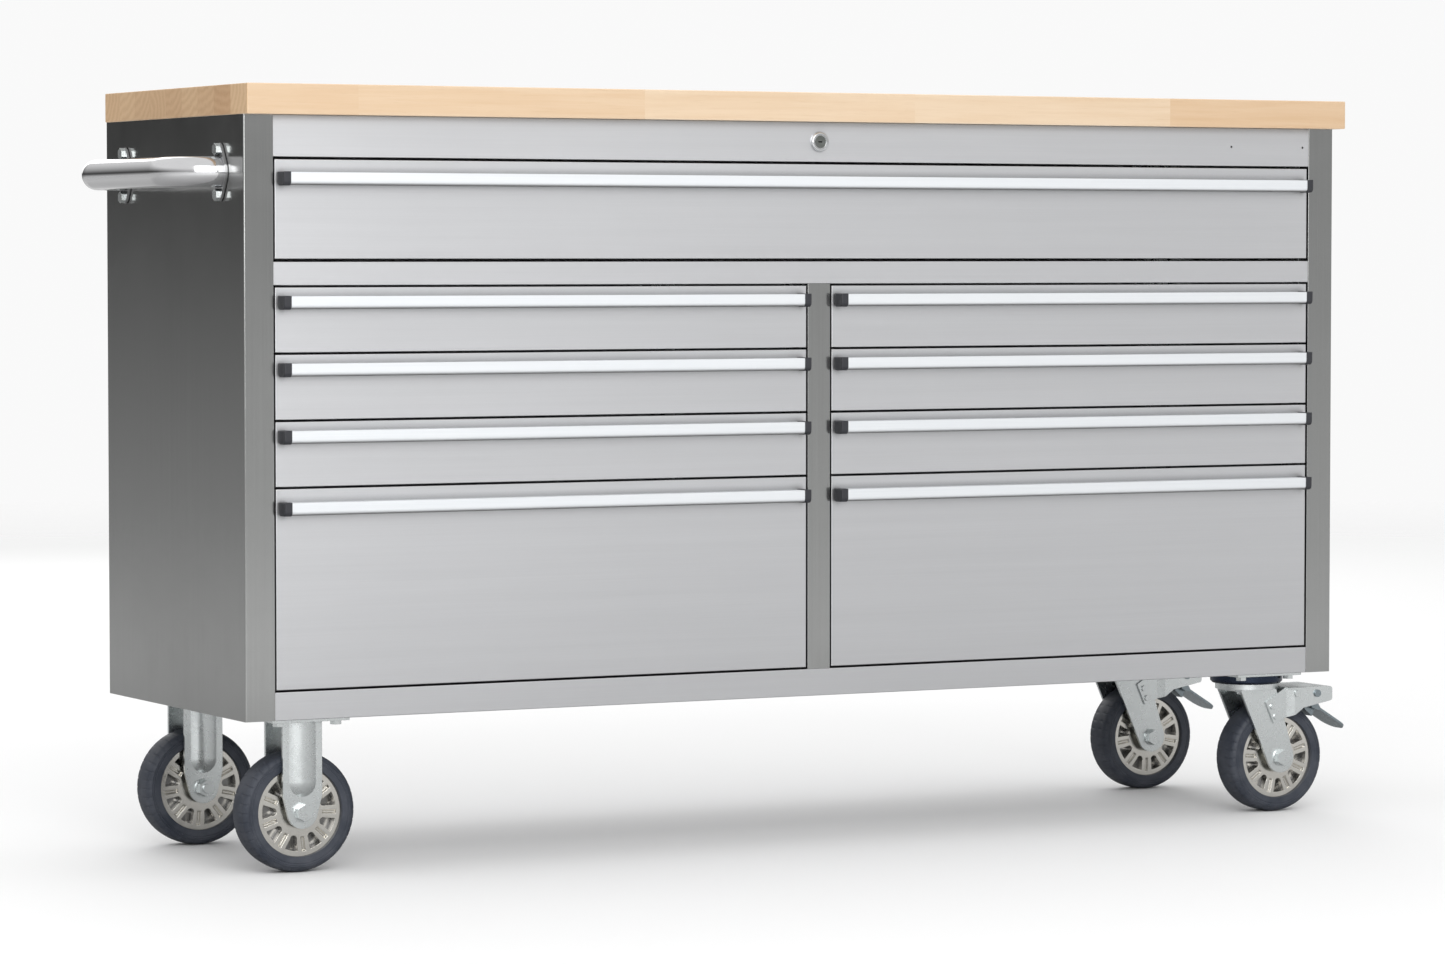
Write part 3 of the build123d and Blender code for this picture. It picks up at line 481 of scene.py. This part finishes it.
def make_tyre(node):
    """Moulded rubber tyre: crowned tread, two fine sidewall rings, short sipes on each shoulder."""
    low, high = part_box(node)
    centre = (low + high) / 2
    outer = (high[2] - low[2]) / 2
    half_width = (high[1] - low[1]) / 2
    inner = RIM_RADIUS
    half = tyre_profile(inner, outer, half_width)
    section = half + [(radius, -offset) for radius, offset in reversed(half[:-1])]
    sipes, sipe_depth = 40, 0.6 * MM
    sipe_inner, sipe_end = outer - 6.0 * MM, half_width - 16.0 * MM
    # columns round the wheel: the plain stretch of one pitch, then the walls and floor of a sipe
    shares = ((0.0, False), (0.3, False), (0.6, False), (0.86, False), (0.90, True), (0.96, True))
    columns = [((pitch + share) / sipes, cut) for pitch in range(sipes) for share, cut in shares]
    work = bmesh.new()
    rings = []
    for place, cut in columns:
        angle = 2 * math.pi * place
        ring = []
        for radius, offset in section:
            if cut and radius > sipe_inner and abs(offset) > sipe_end:
                radius -= sipe_depth
            ring.append(work.verts.new((centre[0] + radius * math.cos(angle), centre[1] + offset,
                                        centre[2] + radius * math.sin(angle))))
        rings.append(ring)
    for here, there in zip(rings, rings[1:] + rings[:1]):
        for i in range(len(section)):
            j = (i + 1) % len(section)
            work.faces.new((here[i], there[i], there[j], here[j]))
    bmesh.ops.recalc_face_normals(work, faces=work.faces)
    mesh = bpy.data.meshes.new(node + "_moulded")
    work.to_mesh(mesh)
    work.free()
    return add_piece(node + "_moulded", mesh, body_of_node[node], node)


for name, obj in nodes.items():
    obj.data.materials.clear()
    obj.data.materials.append(MATERIALS[slot_of_node[name]])
    smooth(obj.data)

for name in nodes:
    if name.endswith("_tyre"):
        make_tyre(name)


# ---- Stage, light and camera --------------------------------------------------------------------
EYE_LEVEL_FRONT, EYE_LEVEL_BEHIND = 0.52, 0.08
GROUND_FRONT, GROUND_BEHIND = 0.92, 0.62
SKY = 0.95


def pale_floor():
    """Round pale floor that fades into the background and looks darker mirrored in metal, with
    painted shade near the object and behind it.
    """
    floor_radius, fade_from, fade_to = 14.0, 2.0, 9.0
    mesh = bpy.data.meshes.new("floor")
    work = bmesh.new()
    bmesh.ops.create_circle(work, cap_ends=True, segments=96, radius=floor_radius)
    work.to_mesh(mesh)
    work.free()
    floor = bpy.data.objects.new("floor", mesh)
    bpy.context.scene.collection.objects.link(floor)
    shader = Shader("floor")
    path = shader.node("ShaderNodeLightPath")
    length = shader.node("ShaderNodeVectorMath", operation="LENGTH")
    shader.put(length.inputs[0], shader.position)
    # painted shade, seen only in reflections: the floor is darker near the object and behind it
    seen_in_metal = shader.remap(length.outputs["Value"], 0.9, 3.4, 0.38, 0.78)
    behind = shader.remap(shader.split(shader.position)[1], -0.4, 1.4, 1.0, 0.70)
    seen_in_metal = shader.math("MULTIPLY", seen_in_metal, behind)
    reflected = shader.join(seen_in_metal, seen_in_metal, seen_in_metal)
    tone = shader.mix(path.outputs["Is Glossy Ray"], (0.88, 0.88, 0.88), reflected)
    shader.set(Base_Color=tone, Roughness=0.75)
    clear = shader.node("ShaderNodeBsdfTransparent")
    fade = shader.node("ShaderNodeMixShader")
    shader.put(fade.inputs[0], shader.remap(length.outputs["Value"], fade_from, fade_to, 0.0, 1.0))
    shader.put(fade.inputs[1], shader.surface.outputs[0])
    shader.put(fade.inputs[2], clear.outputs[0])
    shader.put(shader.tree.nodes["Material Output"].inputs["Surface"], fade.outputs[0])
    mesh.materials.append(shader.material)


def studio_world():
    """Pale backdrop for the camera. For light and reflections, a bright room whose walls have a
    dark band at eye level, darker behind the object than in front of it."""
    # bands of height (sine of the elevation) in which the tone changes
    ground_band, horizon_band, sky_band = (-0.10, 0.02), (0.03, 0.04), (0.06, 0.42)
    world = bpy.data.worlds.new("studio")
    bpy.context.scene.world = world
    world.use_nodes = True
    tree = world.node_tree

    def remap(value, *numbers):
        made = tree.nodes.new("ShaderNodeMapRange")
        tree.links.new(value, made.inputs["Value"])
        for socket, number in zip(made.inputs[1:5], numbers):
            if isinstance(number, bpy.types.NodeSocket):
                tree.links.new(number, socket)
            else:
                socket.default_value = number
        return made.outputs["Result"]

    coordinates = tree.nodes.new("ShaderNodeTexCoord")
    split = tree.nodes.new("ShaderNodeSeparateXYZ")
    tree.links.new(coordinates.outputs["Generated"], split.inputs[0])
    depth, height = split.outputs["Y"], split.outputs["Z"]
    eye_level = remap(depth, -0.6, 0.6, EYE_LEVEL_FRONT, EYE_LEVEL_BEHIND)
    low_level = remap(depth, -0.6, 0.6, GROUND_FRONT, GROUND_BEHIND)
    ground = remap(height, *ground_band, low_level, eye_level)
    sky = remap(height, *sky_band, eye_level, SKY)
    above = remap(height, *horizon_band, 0.0, 1.0)
    choose_height = tree.nodes.new("ShaderNodeMix")
    for socket, value in zip((0, 2, 3), (above, ground, sky)):
        tree.links.new(value, choose_height.inputs[socket])
    surround = tree.nodes["Background"]
    tree.links.new(choose_height.outputs[0], surround.inputs["Color"])
    backdrop = tree.nodes.new("ShaderNodeBackground")
    backdrop.inputs["Color"].default_value = (0.95, 0.95, 0.95, 1.0)
    path = tree.nodes.new("ShaderNodeLightPath")
    choose = tree.nodes.new("ShaderNodeMixShader")
    tree.links.new(path.outputs["Is Camera Ray"], choose.inputs[0])
    tree.links.new(surround.outputs[0], choose.inputs[1])
    tree.links.new(backdrop.outputs[0], choose.inputs[2])
    tree.links.new(choose.outputs[0], tree.nodes["World Output"].inputs["Surface"])


def soft_light(name, place, target, size, watts):
    """Large square area light aimed at a point."""
    data = bpy.data.lights.new(name, "AREA")
    data.size = size
    data.energy = watts
    lamp = bpy.data.objects.new(name, data)
    lamp.location = place
    lamp.rotation_euler = (Vector(target) - Vector(place)).to_track_quat("-Z", "Y").to_euler()
    bpy.context.scene.collection.objects.link(lamp)


def front_camera():
    """Long-lens camera in front of the chest, to the left and just below the worktop."""
    azimuth, elevation = math.radians(-27.88), math.radians(2.62)
    distance, lens = 6.571, 124.0
    shift_right, shift_up = -0.0162, -0.0238
    low, high = (Vector(corner) for corner in cad_bounds)
    level = math.cos(elevation)
    back = Vector((math.sin(azimuth) * level, -math.cos(azimuth) * level, math.sin(elevation)))
    right = Vector((math.cos(azimuth), math.sin(azimuth), 0.0))
    up = back.cross(right)
    target = (low + high) / 2 + right * shift_right + up * shift_up
    data = bpy.data.cameras.new("camera")
    data.lens = lens
    data.clip_end = 60.0
    camera = bpy.data.objects.new("camera", data)
    camera.location = target + back * distance
    camera.rotation_euler = (-back).to_track_quat("-Z", "Y").to_euler()
    bpy.context.scene.collection.objects.link(camera)
    bpy.context.scene.camera = camera


pale_floor()
studio_world()
soft_light("key", (-1.8, -5.2, 2.8), (0.1, 0.0, 0.45), 4.6, 205.0)
soft_light("back", (1.4, 5.0, 3.0), (0.0, 0.0, 0.5), 4.2, 80.0)
front_camera()
bpy.context.scene.view_settings.view_transform = "Standard"
